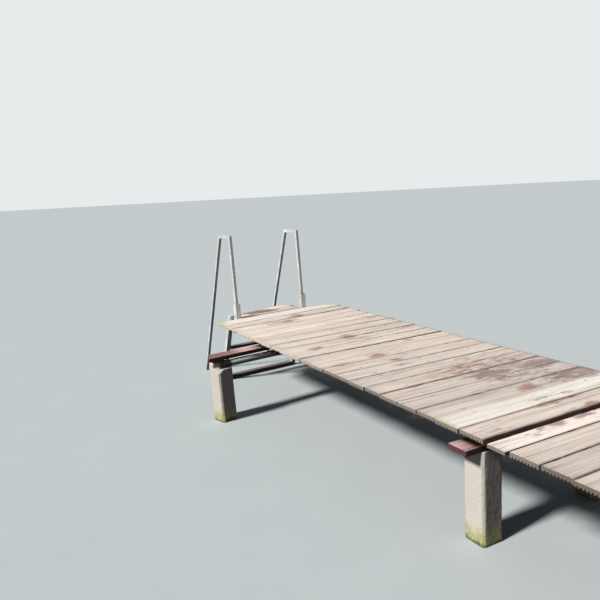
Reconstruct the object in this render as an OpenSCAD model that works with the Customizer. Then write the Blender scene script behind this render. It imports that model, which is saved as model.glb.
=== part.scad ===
// Wooden jetty with a swimming ladder at its lake end.
// Millimetres, +Z up, +X out over the lake, +Y to the left of someone walking out.
// The origin is on the water line, in the middle of the whole jetty's length and width.
// Inside the modules x = 0 is the left corner of the deck's lake end and z = 0 the water line.

/* [Deck] */
// Nominal length of a deck board, across the jetty
deck_w = 1200; // [1160:10:1300]
// Height of the walking surface above the water line
deck_top = 620; // [560:5:900]
// Width of an ordinary deck board
board_w = 143; // [120:1:150]
// Thickness of a deck board
board_t = 24; // [22:1:32]
// Gap between two ordinary boards
board_gap = 3; // [2:0.5:5]
// Ribs on a board's underside
rib_count = 9; // [5:1:10]
// Depth of the grooves between the ribs
groove_depth = 7; // [2:0.5:8]
// Boards on the shore side of the loose one
shore_boards = 16; // [15:1:24]

/* [Lake end] */
// Width of the outermost full board
end_board_w = 170; // [150:1:200]
// Turn of the outermost boards in plan, in degrees
end_skew = 5.5; // [0:0.5:6]
// Boards over which that turn dies out
fan_boards = 9; // [6:1:9]
// Length broken off the outermost full board's right corner, across the jetty
broken_len = 210; // [100:10:300]
// Depth broken off that corner, along the jetty
broken_deep = 120; // [60:10:150]

/* [Loose board] */
// Width of the loose board
loose_w = 99; // [90:1:110]
// Thickness of the loose board
loose_t = 18; // [15:1:22]
// Distance by which the loose board has slipped to the left
loose_slip = 8; // [0:1:20]
// Open gap on the lake side of the loose board
wide_gap = 29; // [20:1:60]
// Open gap on its shore side
step_gap = 20; // [8:1:30]

/* [Cross frames] */
// Distance from the lake end to the middle of the lake frame
frame_first = 530; // [500:10:900]
// Distance between two frames
bay = 2350; // [2000:10:2400]
// Side of a square concrete pier
pier_side = 134; // [124:2:160]
// Width of the chamfer down a pier's corners
pier_chamfer = 14; // [8:1:20]
// Distance of a lake pier's head from the middle of the jetty
pier_y = 838; // [800:2:840]
// Turn of the whole lake frame in plan, in degrees
frame_turn = 7; // [0:0.5:8]
// Further turn of a lake pier about its own length, in degrees
pier_turn = 7; // [0:0.5:8]
// Distance of an inner pier's head from the middle of the jetty
inner_pier_y = 400; // [300:5:450]
// Width of the rebate in a lake pier's head, in which the pole lies
rebate_w = 66; // [62:1:68]
// Depth of that rebate
rebate_deep = 40; // [36:1:44]
// Width of a cross plank
plank_w = 115; // [100:5:120]
// Thickness of a cross plank
plank_t = 30; // [26:1:45]
// Length of the plank across the lake piers
plank_len = 1895; // [1850:5:2000]
// Distance by which this plank's left end is sawn off square
plank_slant = 45; // [0:5:60]
// Length of the planks across the inner piers
inner_plank_len = 1120; // [1020:10:1180]
// Diameter of the pole that lies in the rebates
pole_d = 56; // [50:1:60]

/* [Bearers] */
// Width of a bearer under the boards
bearer_w = 60; // [45:1:70]
// Height of a bearer
bearer_h = 90; // [80:1:120]
// Thickness of the cross beam at the lake end, which is as high as a bearer
end_beam_t = 36; // [30:1:45]

/* [Short boards] */
// Width at the right end of the board sawn to a wedge
wedge_w = 170; // [120:2:170]
// Width of the outermost board
outer_board_w = 125; // [100:1:143]
// Turn of the outermost board away from the end board, in degrees
outer_turn = 12; // [8:0.5:12]
// Side of the two square arms that carry these boards
step_arm = 30; // [25:1:40]

/* [Ladder] */
// Distance of the ladder's middle from the deck's left corner, along the end board
ladder_mid = 555; // [520:5:600]
// Distance between the middles of the two handrails
rail_spread = 688; // [660:2:700]
// Width over flats of the handrail tube
tube = 25; // [20:1:28]
// Height of the handrails above the deck
rail_h = 718; // [600:2:900]
// Length of a handrail's level top
rail_top = 210; // [160:2:320]
// Lean of the handrails' deck legs, in degrees from plumb
leg_lean = 3.5; // [2:0.5:5]
// Outward slope of the lake legs and of the ladder's stiles, in degrees from plumb
ladder_slope = 20.4; // [15:0.1:25]
// Width over flats of a sleeve
sleeve = 45; // [42:1:50]
// Wall of a sleeve
sleeve_wall = 3; // [2:0.5:3]
// Height of a sleeve above the deck
sleeve_h = 128; // [80:2:160]
// Width over flats of a ladder stile
stile = 40; // [30:1:45]
// Distance of a stile from the end board, at the level of the deck
stile_out = 85; // [75:1:110]
// Height of a stile's head above the deck
stile_head = 24; // [5:1:40]
// Depth of a ladder tread
tread_w = 65; // [60:5:110]
// Thickness of a ladder tread
tread_t = 24; // [20:1:32]
// Depth of the upper tread below the deck
tread_first = 281; // [250:1:300]
// Height from one tread to the next
tread_rise = 300; // [250:2:305]

/* [Hidden] */

// Boards are numbered from 0 at the lake end
pale_board_no = 19;
loose_board_no = 21;
last_board_no = loose_board_no + shore_boards;
// The first board of each run that shares a node, and the one after the last run
run_starts = [1, 7, 13];
shore_run_starts = [loose_board_no + 1, loose_board_no + 7, loose_board_no + 12, last_board_no + 1];
// Gap between the boards that fan out, at the left edge
fan_gap = 1.5;
// Width and slant of a groove, and the bevel on a board's top edges
groove_w = 8;
groove_slant = 1.5;
board_bevel = 2;
// Greatest difference of a board's ends from the straight edge
end_waver = 4;
// Ends of the wedge and of the cross beam, along the end board from its left corner
wedge_ends = [240, 871];
end_beam_ends = [150, 1035];
// Width of the wedge's narrow end, and its gap from the end board
wedge_tip = 28;
wedge_gap = 2;
// Left end of the outermost board: distance out, and distance along the end board
outer_start = [44, 245];
outer_len = 675;
// Reach of the left and right step arm from the cross beam
step_reach = [165, 290];

board_bottom = deck_top - board_t;
bearer_bottom = board_bottom - bearer_h;
plank_bottom = bearer_bottom - plank_t;
packer_h = 24;
pier_top = plank_bottom - packer_h;
// A packer sits on the lake half of a lake pier's head, and the plank reaches over the pole
packer_size = [52, 70];
packer_x = 33;
plank_x = 15;
// Outward lean of each pier in degrees, left and right, from the lake to the shore
pier_lean = [[2, 1.2], [0.8, 0.5], [0.6, 1]];
// How deep the weathered corner of a lake pier's head is cut back
head_cut = 26;
// A pole ends this far inside the middle of a pier's head
pole_end = 6;

// The bearers stop short of the deck's shore end
bearer_inset = 30;
bearer_y = 400;

rail_top_z = deck_top + rail_h;
sleeve_top = deck_top + sleeve_h;
leg_half = tube / cos(leg_lean) / 2;
lake_leg_w = tube / cos(ladder_slope);
// Middle of a stile beyond the outer side of its sleeve
stile_gap = 12;
stile_half = stile / cos(ladder_slope) / 2;
// A ladder arm's height, and its top below the deck
arm_h = 50;
arm_drop = 30;

function board_width(i) =
    i == 0 ? end_board_w : (i == loose_board_no ? loose_w : board_w);
function board_skew(i) = end_skew * max(0, 1 - i / (fan_boards + 1));
function gap_before(i) =
    i <= fan_boards ? fan_gap
    : (i == loose_board_no ? wide_gap : (i == loose_board_no + 1 ? step_gap : board_gap));
// Where a board's lake edge meets the left edge of the deck
function board_x(i) =
    i == 0 ? 0 : board_x(i - 1) - board_width(i - 1) / cos(board_skew(i - 1)) - gap_before(i);
// How far a board's left end stands off the left edge of the deck
function board_slip(i) = i == loose_board_no ? loose_slip : end_waver * sin(137 * i);

// From the left corner along the end board: side is 1 on the left and -1 on the right
function rail_w(side) = ladder_mid - side * rail_spread / 2;
function stile_w(side) = rail_w(side) - side * (sleeve / 2 + stile_gap);
// Distances out from the end board, at height z
function stile_at(z) = stile_out + (deck_top - z) * tan(ladder_slope);
function leg_at(z) = sleeve - sleeve_wall - leg_half + (z - sleeve_top) * tan(leg_lean);
// Lake end of a bearer, at the back of the cross beam
function beam_back(y) = (deck_w / 2 - y) * tan(end_skew) - end_beam_t / cos(end_skew);

// The leg's foot and the sleeve's lip both touch the inside of the sleeve
leg_foot = sleeve_top - (sleeve - 2 * sleeve_wall - 2 * leg_half) / tan(leg_lean);
rail_corner = leg_at(rail_top_z) - leg_half + rail_top;
rail_reach = rail_corner + rail_top_z * tan(ladder_slope);

shore_x = board_x(last_board_no) - board_width(last_board_no);
lake_x = rail_reach * cos(end_skew) + (rail_w(-1) + tube / 2) * sin(end_skew);
middle_x = (shore_x + lake_x) / 2;

function frame_x(f) = -frame_first - (f - 1) * bay;

// Outline of a board's end: bevelled above, ribbed below
function ribbed_section(w, t) = concat(
    plain_section(w, t),
    [for (j = [rib_count - 1 : -1 : 1]) each groove_points(j * w / rib_count)]
);
function plain_section(w, t) = [
    [0, 0], [0, t - board_bevel], [board_bevel, t],
    [w - board_bevel, t], [w, t - board_bevel], [w, 0]
];
function groove_points(x) = [
    [x + groove_w / 2, 0],
    [x + groove_w / 2 - groove_slant, groove_depth],
    [x - groove_w / 2 + groove_slant, groove_depth],
    [x - groove_w / 2, 0]
];

// Moves the lake end's frame to the part's origin
module place() {
    translate([-middle_x, 0, 0]) children();
}

// Middle of cross frame f, of which only the first is turned in plan
module at_frame(f) {
    place()
        translate([frame_x(f), 0, 0])
            rotate([0, 0, f == 1 ? frame_turn : 0])
                children();
}

// Frame of the turned lake end: x runs out from the end board, y is 0 at its left corner
module at_end() {
    place()
        translate([0, deck_w / 2, 0])
            rotate([0, 0, end_skew])
                children();
}

// A bar along Y whose end has the given outline in X and Z
module cross_bar(outline, length) {
    rotate([90, 0, 0])
        linear_extrude(height = length, center = true)
            polygon(outline);
}

// One board, turned about the corner where its lake edge meets the left edge
module board(i, outline) {
    length = deck_w + end_waver * sin(211 * i);
    place()
        translate([board_x(i), deck_w / 2 + board_slip(i), board_bottom])
            rotate([0, 0, board_skew(i)])
                translate([-board_width(i), -length / 2, 0])
                    cross_bar(outline, length);
}

module ribbed_board(i) {
    board(i, ribbed_section(board_width(i), board_t));
}

module board_run(first, next) {
    color("rosybrown")
        for (i = [first : next - 1])
            ribbed_board(i);
}

// The outermost full board, with its right corner broken off
module end_board() {
    right_y = -deck_w / 2;
    edge_x = deck_w * tan(end_skew);
    color("gainsboro")
        difference() {
            ribbed_board(0);
            place()
                translate([0, 0, board_bottom - board_t])
                    linear_extrude(height = 3 * board_t)
                        polygon([
                            [edge_x - broken_deep, right_y - broken_len],
                            [edge_x - broken_deep, right_y],
                            [edge_x, right_y + broken_len],
                            [edge_x + broken_len, right_y]
                        ]);
        }
}

module pale_board() {
    color("ivory") ribbed_board(pale_board_no);
}

// A narrower and thinner plain plank that lies loose where an ordinary board is missing
module loose_board() {
    color("tan") board(loose_board_no, plain_section(loose_w, loose_t));
}

// Ribbed board outside the end board, sawn to a wedge
module wedge_board() {
    near = wedge_gap;
    middle = (wedge_ends[0] + wedge_ends[1]) / 2;
    color("rosybrown")
        at_end()
            intersection() {
                translate([near, -middle, board_bottom])
                    cross_bar(ribbed_section(wedge_w, board_t), wedge_ends[1] - wedge_ends[0]);
                translate([0, 0, board_bottom - board_t])
                    linear_extrude(height = 3 * board_t)
                        polygon([
                            [near, -wedge_ends[0]],
                            [near, -wedge_ends[1]],
                            [near + wedge_w, -wedge_ends[1]],
                            [near + wedge_tip, -wedge_ends[0]]
                        ]);
            }
}

// Outermost board, turned further than the wedge's long edge
module outer_board() {
    color("rosybrown")
        at_end()
            translate([outer_start[0], -outer_start[1], board_bottom])
                rotate([0, 0, outer_turn])
                    translate([0, -outer_len / 2, 0])
                        cross_bar(ribbed_section(outer_board_w, board_t), outer_len);
}

// Square arm beside a sleeve, under the two short boards
module short_board_arm(side) {
    inner_face = rail_w(side) + side * (sleeve / 2 + step_arm / 2);
    color("silver")
        at_end()
            translate([0, -inner_face - step_arm / 2, board_bottom - step_arm])
                cube([step_reach[side > 0 ? 0 : 1], step_arm, step_arm]);
}

// Long bearer whose lake end is cut to lie against the cross beam
module bearer(y) {
    left = y + bearer_w / 2;
    right = y - bearer_w / 2;
    start = shore_x + bearer_inset;
    color("dimgray")
        place()
            translate([0, 0, bearer_bottom])
                linear_extrude(height = bearer_h)
                    polygon([
                        [start, right],
                        [beam_back(right), right],
                        [beam_back(left), left],
                        [start, left]
                    ]);
}

// Cross beam under the end board's lake edge
module cross_beam() {
    color("dimgray")
        at_end()
            translate([-end_beam_t, -end_beam_ends[1], bearer_bottom])
                cube([end_beam_t, end_beam_ends[1] - end_beam_ends[0], bearer_h]);
}

// Square outline with cut corners
function pier_outline(s, c) = [
    [-s / 2 + c, -s / 2], [s / 2 - c, -s / 2], [s / 2, -s / 2 + c], [s / 2, s / 2 - c],
    [s / 2 - c, s / 2], [-s / 2 + c, s / 2], [-s / 2, s / 2 - c], [-s / 2, -s / 2 + c]
];

// A pier that leans outward about the middle of its level head and has a level foot
module leaning_pier(y, top, lean, turn) {
    intersection() {
        translate([0, y, top])
            rotate([-lean, 0, 0])
                rotate([0, 0, turn])
                    translate([0, 0, -2 * top])
                        linear_extrude(height = 4 * top)
                            polygon(pier_outline(pier_side, pier_chamfer));
        translate([-pier_side, 0, 0])
            cube([2 * pier_side, y + 2 * pier_side, top]);
    }
}

// Lake pier of the left side, with a rebate along its head's shore edge and a worn corner
module rebated_pier(lean) {
    half = pier_side / 2;
    corner_turn = 135;
    corner_tip = 50;
    difference() {
        leaning_pier(pier_y, pier_top, lean, pier_turn);
        translate([-pier_side, 0, pier_top - rebate_deep])
            cube([pier_side - half + rebate_w, pier_y + pier_side, 2 * rebate_deep]);
        translate([0, pier_y, pier_top - rebate_deep])
            rotate([0, 0, pier_turn])
                translate([-half, half, 0])
                    rotate([0, corner_tip, corner_turn])
                        translate([-pier_side, -pier_side, -head_cut])
                            cube([2 * pier_side, 2 * pier_side, pier_side]);
    }
}

// side is 1 on the left and -1 on the right
module pier(f, side) {
    lean = pier_lean[f - 1][side > 0 ? 0 : 1];
    color("antiquewhite")
        at_frame(f)
            mirror([0, side > 0 ? 0 : 1, 0])
                if (f == 1) rebated_pier(lean);
                else leaning_pier(inner_pier_y, plank_bottom, lean, 0);
}

module packer(side) {
    color("black")
        at_frame(1)
            translate([packer_x, side * pier_y, pier_top + packer_h / 2])
                cube([packer_size[0], packer_size[1], packer_h], center = true);
}

// Plank across the lake frame: its left end is sawn at a slant, and its right end is square
module lake_plank() {
    shore_side = plank_x - plank_w / 2;
    lake_side = plank_x + plank_w / 2;
    left_end = plank_len / 2;
    // Both ends stand as far from the middle of the jetty, across it
    right_end = left_end + 2 * shore_side * tan(frame_turn);
    color("brown")
        at_frame(1)
            translate([0, 0, plank_bottom])
                linear_extrude(height = plank_t)
                    polygon([
                        [shore_side, -right_end],
                        [lake_side, -right_end],
                        [lake_side, left_end - plank_slant],
                        [shore_side, left_end]
                    ]);
}

module inner_plank(f) {
    color("brown")
        at_frame(f)
            translate([0, 0, plank_bottom + plank_t / 2])
                cube([plank_w, inner_plank_len, plank_t], center = true);
}

// Lies in the two rebates, against the step in each pier's head
module cross_pole() {
    x = -pier_side / 2 + rebate_w - pole_d / 2;
    color("slategray")
        at_frame(1)
            translate([x, 0, pier_top - rebate_deep + pole_d / 2])
                rotate([90, 0, 0])
                    cylinder(h = 2 * (pier_y - pole_end), d = pole_d, center = true, $fn = 64);
}

// Square tube on the cross beam's face that takes the handrail's deck leg
module rail_sleeve(side) {
    color("lightgray")
        at_end()
            translate([sleeve / 2, -rail_w(side), bearer_bottom])
                linear_extrude(height = sleeve_top - bearer_bottom)
                    difference() {
                        square(sleeve, center = true);
                        square(sleeve - 2 * sleeve_wall, center = true);
                    }
}

// Outline of a handrail in X and Z: both legs and the level top, with mitred corners
function rail_outline() =
    let (
        inner_z = rail_top_z - tube,
        head_x = leg_at(rail_top_z) - leg_half,
        foot_x = leg_at(leg_foot) - leg_half
    ) [
        [foot_x, leg_foot],
        [head_x, rail_top_z],
        [rail_corner, rail_top_z],
        [rail_reach, 0],
        [rail_reach - lake_leg_w, 0],
        [rail_corner - lake_leg_w + tube * tan(ladder_slope), inner_z],
        [leg_at(inner_z) + leg_half, inner_z],
        [foot_x + 2 * leg_half, leg_foot]
    ];

module handrail(side) {
    color("gainsboro")
        at_end()
            translate([0, -rail_w(side), 0])
                cross_bar(rail_outline(), tube);
}

// Bar from the cross beam's face to the back of a stile, against the sleeve's outer side
module ladder_arm(side) {
    top = deck_top - arm_drop;
    bottom = top - arm_h;
    near = rail_w(side) - side * sleeve / 2;
    far = stile_w(side) - side * stile / 2;
    color("silver")
        at_end()
            translate([0, -(near + far) / 2, 0])
                cross_bar([
                    [0, bottom],
                    [0, top],
                    [stile_at(top) - stile_half, top],
                    [stile_at(bottom) - stile_half, bottom]
                ], abs(far - near));
}

module ladder_stile(side) {
    head = deck_top + stile_head;
    color("silver")
        at_end()
            translate([0, -stile_w(side), 0])
                cross_bar([
                    [stile_at(head) - stile_half, head],
                    [stile_at(head) + stile_half, head],
                    [stile_at(0) + stile_half, 0],
                    [stile_at(0) - stile_half, 0]
                ], stile);
}

// Tread n, counted down from the deck, between the two stiles
module ladder_tread(n) {
    middle_z = deck_top - tread_first - (n - 1) * tread_rise - tread_t / 2;
    length = stile_w(-1) - stile_w(1) - stile;
    color("gray")
        at_end()
            translate([stile_at(middle_z), -ladder_mid, middle_z])
                cube([tread_w, length, tread_t], center = true);
}

pier(1, 1);  // pier_1_left
pier(1, -1);  // pier_1_right
pier(2, 1);  // pier_2_left
pier(2, -1);  // pier_2_right
pier(3, 1);  // pier_3_left
pier(3, -1);  // pier_3_right
packer(1);  // packer_left
packer(-1);  // packer_right
cross_pole();
lake_plank();  // cross_plank_1
inner_plank(2);  // cross_plank_2
inner_plank(3);  // cross_plank_3
bearer(bearer_y);  // bearer_left
bearer(0);  // bearer_middle
bearer(-bearer_y);  // bearer_right
cross_beam();  // end_beam
short_board_arm(1);  // step_arm_left
short_board_arm(-1);  // step_arm_right
wedge_board();  // short_board_inner
outer_board();  // short_board_outer
end_board();
board_run(run_starts[0], run_starts[1]);  // deck_boards_1
board_run(run_starts[1], run_starts[2]);  // deck_boards_2
board_run(run_starts[2], pale_board_no);  // deck_boards_3
pale_board();
board_run(pale_board_no + 1, loose_board_no);  // deck_boards_4
loose_board();
board_run(shore_run_starts[0], shore_run_starts[1]);  // deck_boards_5
board_run(shore_run_starts[1], shore_run_starts[2]);  // deck_boards_6
board_run(shore_run_starts[2], shore_run_starts[3]);  // deck_boards_7
rail_sleeve(1);  // sleeve_left
rail_sleeve(-1);  // sleeve_right
handrail(1);  // handrail_left
handrail(-1);  // handrail_right
ladder_arm(1);  // ladder_arm_left
ladder_arm(-1);  // ladder_arm_right
ladder_stile(1);  // ladder_stile_left
ladder_stile(-1);  // ladder_stile_right
ladder_tread(1);  // ladder_tread_upper
ladder_tread(2);  // ladder_tread_lower
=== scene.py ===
"""Looks of the wooden jetty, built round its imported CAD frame. Metres, +Z up, +X out over the lake."""

import math

import bmesh
import bpy
import numpy as np
from mathutils import Matrix, Vector


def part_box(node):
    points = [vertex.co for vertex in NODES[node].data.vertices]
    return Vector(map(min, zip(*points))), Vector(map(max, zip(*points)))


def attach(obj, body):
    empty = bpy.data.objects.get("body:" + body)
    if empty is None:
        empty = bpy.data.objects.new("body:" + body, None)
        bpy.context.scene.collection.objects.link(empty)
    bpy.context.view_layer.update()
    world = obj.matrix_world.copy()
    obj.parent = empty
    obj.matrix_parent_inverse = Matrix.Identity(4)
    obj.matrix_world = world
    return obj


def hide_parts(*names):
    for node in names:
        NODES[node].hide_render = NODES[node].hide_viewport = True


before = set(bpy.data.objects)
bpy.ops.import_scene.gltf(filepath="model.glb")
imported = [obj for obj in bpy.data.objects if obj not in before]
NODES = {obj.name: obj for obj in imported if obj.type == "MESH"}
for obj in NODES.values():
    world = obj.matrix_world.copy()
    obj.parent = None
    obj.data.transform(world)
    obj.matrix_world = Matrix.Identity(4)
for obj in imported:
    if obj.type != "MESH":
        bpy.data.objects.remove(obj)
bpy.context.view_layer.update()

# Height of the deck over the water
DECK_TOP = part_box("deck_boards_1")[1].z
# Height of the two sleeves' tops over the water
SLEEVE_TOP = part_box("sleeve_left")[1].z
# The part's x of the left corner of the deck's lake end, 2.88 m from the middle of the second frame
END_X = sum(corner.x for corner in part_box("pier_2_left")) / 2 + 2.88
# Half the deck's width
DECK_HALF = 0.6
# Distance between two lines of screws, which are over the bearers
BEARER_STEP = 0.4
# Distance of a screw from the board's edge
SCREW_IN = 0.030
# Distances before the lake end between which the boards' sawn ends turn from darkened as painted shade to
# plain, and from plain to bleached
SHADED_ENDS = (3.5, 3.2)
BLEACHED_ENDS = (1.9, 1.2)
# Growth rings of the wood: their distance, and how far noise bends them
RING_STEP = 0.0062
RING_BEND = 0.022
# Place of the pith in a timber whose mesh is left as it is
PITH_OFF = (0.03, 0, 0.05)
# Ribs below a board
RIBS = 9
# Grooves between the ribs: depth, and half their width at the mouth and at the bottom
GROOVE_DEEP = 0.007
GROOVE_MOUTH = 0.004
GROOVE_BOTTOM = 0.0026
# Bevel of a plank's lower edges, and the rounding that wear gives the upper ones
EASED = 0.0012
WORN_ARRIS = 0.0035
# Chips out of a plank's top edges: how deep, and how far in from the side; and how far in from it
# the whole edge is ragged
CHIP_DEEP = 0.006
CHIP_IN = 0.0022
RAGGED_IN = 0.0006
# Steps across a plank's top
TOP_STEPS = 16
# Distances of a plank's rings of points from each other, and of the second one from its end
RING_APART = 0.022
END_WEAR = 0.004
# Wood lower than this has none of the deck's stains
LOWEST_STAIN = 0.47

# The camera: its place, its turn, pitch and roll in degrees, and its focal length in picture widths
EYE = Vector((END_X - 4.871, 2.383, DECK_TOP + 1.053))
EYE_TURNS = (-28.04, -9.89, -2.97)
FOCAL = 613.6 / 600
SENSOR = 36.0

# Half the floor's side, and how far it lies under the piers so that the two don't flicker
FLOOR_REACH = 400
FLOOR_DROP = 0.0005

# The lamp: where it shines from, which is over the jetty's left side, and its disc in degrees
LAMP_FROM = Vector((-0.05, 0.76, 0.63))
LAMP_POWER = 4.6
LAMP_SPREAD = 8
LAMP_TINT = (1.0, 0.97, 0.93)
SKY_FILL = 0.15
SKY_TINT = (0.86, 0.93, 1.0)

# What the camera sees of the sky and the floor, and the floor's tone for the light it throws back
SKY_SEEN = (0.80, 0.83, 0.84)
FLOOR_SEEN = ((0.49, 0.545, 0.565), (0.54, 0.59, 0.61))
FLOOR_BOUNCE = (0.10, 0.10, 0.10)


# Node trees


class Net:
    """Short calls that build a material's or world's nodes. A socket, number or tuple feeds any input."""

    def __init__(self, owner):
        owner.use_nodes = True
        self.owner = owner
        self.tree = owner.node_tree
        self.tree.nodes.clear()

    def feed(self, socket, value):
        if isinstance(value, bpy.types.NodeSocket):
            self.tree.links.new(value, socket)
        elif isinstance(value, (tuple, list)) and socket.type == "RGBA" and len(value) == 3:
            socket.default_value = (*value, 1)
        else:
            socket.default_value = value

    def node(self, kind, inputs=(), **settings):
        made = self.tree.nodes.new("ShaderNode" + kind)
        for name, value in settings.items():
            setattr(made, name, value)
        for key, value in dict(inputs).items():
            self.feed(made.inputs[key], value)
        return made

    def math(self, operation, a, b=0.0, c=0.0):
        return self.node("Math", {0: a, 1: b, 2: c}, operation=operation).outputs[0]

    def scaled(self, vector, scale, shift=(0, 0, 0)):
        made = self.node("VectorMath", {0: vector, 1: scale, 2: shift}, operation="MULTIPLY_ADD")
        return made.outputs[0]

    def noise(self, vector, scale, detail=2.0, roughness=0.5):
        inputs = {"Vector": vector, "Scale": scale, "Detail": detail, "Roughness": roughness}
        return self.node("TexNoise", inputs).outputs["Fac"]

    def fibrous(self, point, across, along, detail, roughness=0.5):
        """Noise with about so many waves a metre across the fibres and along them."""
        return self.noise(self.scaled(point, (across, along, across)), 1.0, detail, roughness)

    def cells(self, vector, scale, output="Distance"):
        return self.node("TexVoronoi", {"Vector": vector, "Scale": scale}).outputs[output]

    def smooth(self, value, low, high, to_low=0.0, to_high=1.0):
        inputs = {"Value": value, 1: low, 2: high, 3: to_low, 4: to_high}
        return self.node("MapRange", inputs, interpolation_type="SMOOTHSTEP").outputs[0]

    def mix(self, factor, a, b, blend="MIX"):
        made = self.node("Mix", data_type="RGBA", blend_type=blend)
        self.feed(made.inputs[0], factor)
        self.feed(made.inputs[6], a)
        self.feed(made.inputs[7], b)
        return made.outputs[2]

    def split(self, vector):
        return self.node("SeparateXYZ", {0: vector}).outputs

    def join(self, x, y, z):
        return self.node("CombineXYZ", {0: x, 1: y, 2: z}).outputs[0]

    def attribute(self, name):
        return self.node("Attribute", attribute_name=name).outputs["Vector"]

    def place(self):
        return self.node("TexCoord").outputs["Object"]

    def facing(self):
        """The parts of a face's direction: out over the lake, to the left, and up."""
        return self.split(self.node("NewGeometry").outputs["Normal"])

    def bump(self, height, strength, distance):
        inputs = {"Height": height, "Strength": strength, "Distance": distance}
        return self.node("Bump", inputs).outputs[0]

    def finish(self, color, roughness, normal=None, metallic=0.0, specular=0.5):
        inputs = {"Base Color": color, "Roughness": roughness, "Metallic": metallic}
        inputs["Specular IOR Level"] = specular
        if normal:
            inputs["Normal"] = normal
        shader = self.node("BsdfPrincipled", inputs)
        self.node("OutputMaterial", {0: shader.outputs[0]})
        return self.owner

    def finish_staged(self, output, unseen, seen):
        """One shader for what the camera and reflections show, and one for all other light."""
        path = self.node("LightPath").outputs
        shown = self.math("MAXIMUM", path["Is Camera Ray"], path["Is Glossy Ray"])
        shown = self.math("MAXIMUM", shown, path["Is Transmission Ray"])
        blend = self.node("MixShader", {0: shown, 1: unseen.outputs[0], 2: seen.outputs[0]})
        self.node(output, {0: blend.outputs[0]})
        return self.owner


# Stage


def aim_camera():
    """Camera at the photograph's place, with its slight roll."""
    yaw, pitch, roll = (math.radians(a) for a in EYE_TURNS)
    ahead = Vector((math.cos(yaw) * math.cos(pitch), math.sin(yaw) * math.cos(pitch), math.sin(pitch)))
    level_right = Vector((math.sin(yaw), -math.cos(yaw), 0))
    level_up = level_right.cross(ahead)
    right = math.cos(roll) * level_right + math.sin(roll) * level_up
    up = math.cos(roll) * level_up - math.sin(roll) * level_right
    data = bpy.data.cameras.new("Camera")
    data.sensor_width = SENSOR
    data.lens = FOCAL * SENSOR
    data.clip_end = FLOOR_REACH + 100
    camera = bpy.data.objects.new("Camera", data)
    bpy.context.collection.objects.link(camera)
    axes = Matrix((right, up, -ahead)).transposed().to_4x4()
    camera.matrix_world = Matrix.Translation(EYE) @ axes
    bpy.context.scene.camera = camera


def floor_material():
    """Pale to the camera and in reflections, and darker for the light it throws back at the object."""
    net = Net(bpy.data.materials.new("Floor"))
    pale = net.mix(net.noise(net.place(), 3.0, 3), *FLOOR_SEEN)
    seen = net.node("BsdfDiffuse", {"Color": pale})
    return net.finish_staged("OutputMaterial", net.node("BsdfDiffuse", {"Color": FLOOR_BOUNCE}), seen)


def make_floor():
    """A wide level floor at the water line."""
    mesh = bpy.data.meshes.new("Floor")
    signs = ((-1, -1), (1, -1), (1, 1), (-1, 1))
    mesh.from_pydata([(x * FLOOR_REACH, y * FLOOR_REACH, 0) for x, y in signs], [], [(0, 1, 2, 3)])
    floor = bpy.data.objects.new("Floor", mesh)
    floor.location.z = -FLOOR_DROP
    bpy.context.collection.objects.link(floor)
    mesh.materials.append(floor_material())


def make_lamp():
    """One large soft lamp, high on the left."""
    data = bpy.data.lights.new("Key", "SUN")
    data.energy = LAMP_POWER
    data.angle = math.radians(LAMP_SPREAD)
    data.color = LAMP_TINT
    lamp = bpy.data.objects.new("Key", data)
    lamp.rotation_mode = "QUATERNION"
    lamp.rotation_quaternion = LAMP_FROM.to_track_quat("Z", "Y")
    bpy.context.collection.objects.link(lamp)


def make_sky():
    """Pale to the camera and in reflections, and a dim bluish fill for everything else."""
    net = Net(bpy.data.worlds.new("World"))
    fill = net.node("Background", {0: SKY_TINT, 1: SKY_FILL})
    seen = net.node("Background", {0: SKY_SEEN, 1: 1.0})
    bpy.context.scene.world = net.finish_staged("OutputWorld", fill, seen)


# Materials

# Tones that all woods share. Where there are two, noise chooses between them
GREYED = (0.47, 0.445, 0.43)
SILVERED = (0.50, 0.475, 0.46)
PINKER = (1.04, 0.93, 0.90)
CRACK = (0.07, 0.055, 0.05)
KNOT = (0.16, 0.085, 0.055)
SCREW_STAIN = (0.10, 0.06, 0.05)
# Dirt, and painted shade along the gaps between boards
GRIME_AND_GAP_SHADE = (0.11, 0.07, 0.06)
RED_STAIN = ((0.42, 0.21, 0.20), (0.46, 0.26, 0.18))
RED_STAIN_DEEP = (0.20, 0.075, 0.07)
DARK_STAIN = ((0.27, 0.19, 0.18), (0.11, 0.07, 0.065))
MOSS = ((0.70, 0.69, 0.43), (0.45, 0.46, 0.20))
# Tones of the pole
PEELED = ((0.48, 0.47, 0.47), (0.86, 0.86, 0.86))
PEELED_FIBRE = (0.15, 0.13, 0.12)
POLE_SPLIT = (0.05, 0.04, 0.035)
BARK = ((0.33, 0.28, 0.25), (0.06, 0.045, 0.04))
# Painted shade: the near black of the pole's left end under the plank
POLE_END_SHADE = ((0.02, 0.018, 0.018), (0.05, 0.045, 0.045))
# Painted shade on the pole's underside
POLE_UNDERSIDE_SHADE = (0.06, 0.05, 0.05)
# Tones of the concrete
CEMENT = ((0.545, 0.51, 0.455), (0.64, 0.61, 0.555))
SAND = (0.48, 0.43, 0.37)
PEBBLE = (0.50, 0.44, 0.36)
PIT = (0.16, 0.13, 0.11)
DAMP_RUN = (0.34, 0.30, 0.27)
# Painted shade: the dark tone of the faces towards the shore, which look away from the lamp
SHORE_FACE_SHADE = (0.155, 0.105, 0.14)
ALGAE = ((0.26, 0.29, 0.09), (0.60, 0.56, 0.25))
SLIME = (0.06, 0.06, 0.03)
# Tones of the steel
ZINC = ((0.60, 0.62, 0.62), (0.71, 0.73, 0.73))
BLOOM = (0.79, 0.81, 0.80)
WORN_ZINC = (0.31, 0.28, 0.26)
RUST = (0.27, 0.12, 0.05)
FOOT_GREEN = (0.22, 0.23, 0.13)
# Painted shade on the steel's shore faces
STEEL_SHORE_SHADE = (0.09, 0.11, 0.115)


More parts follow.
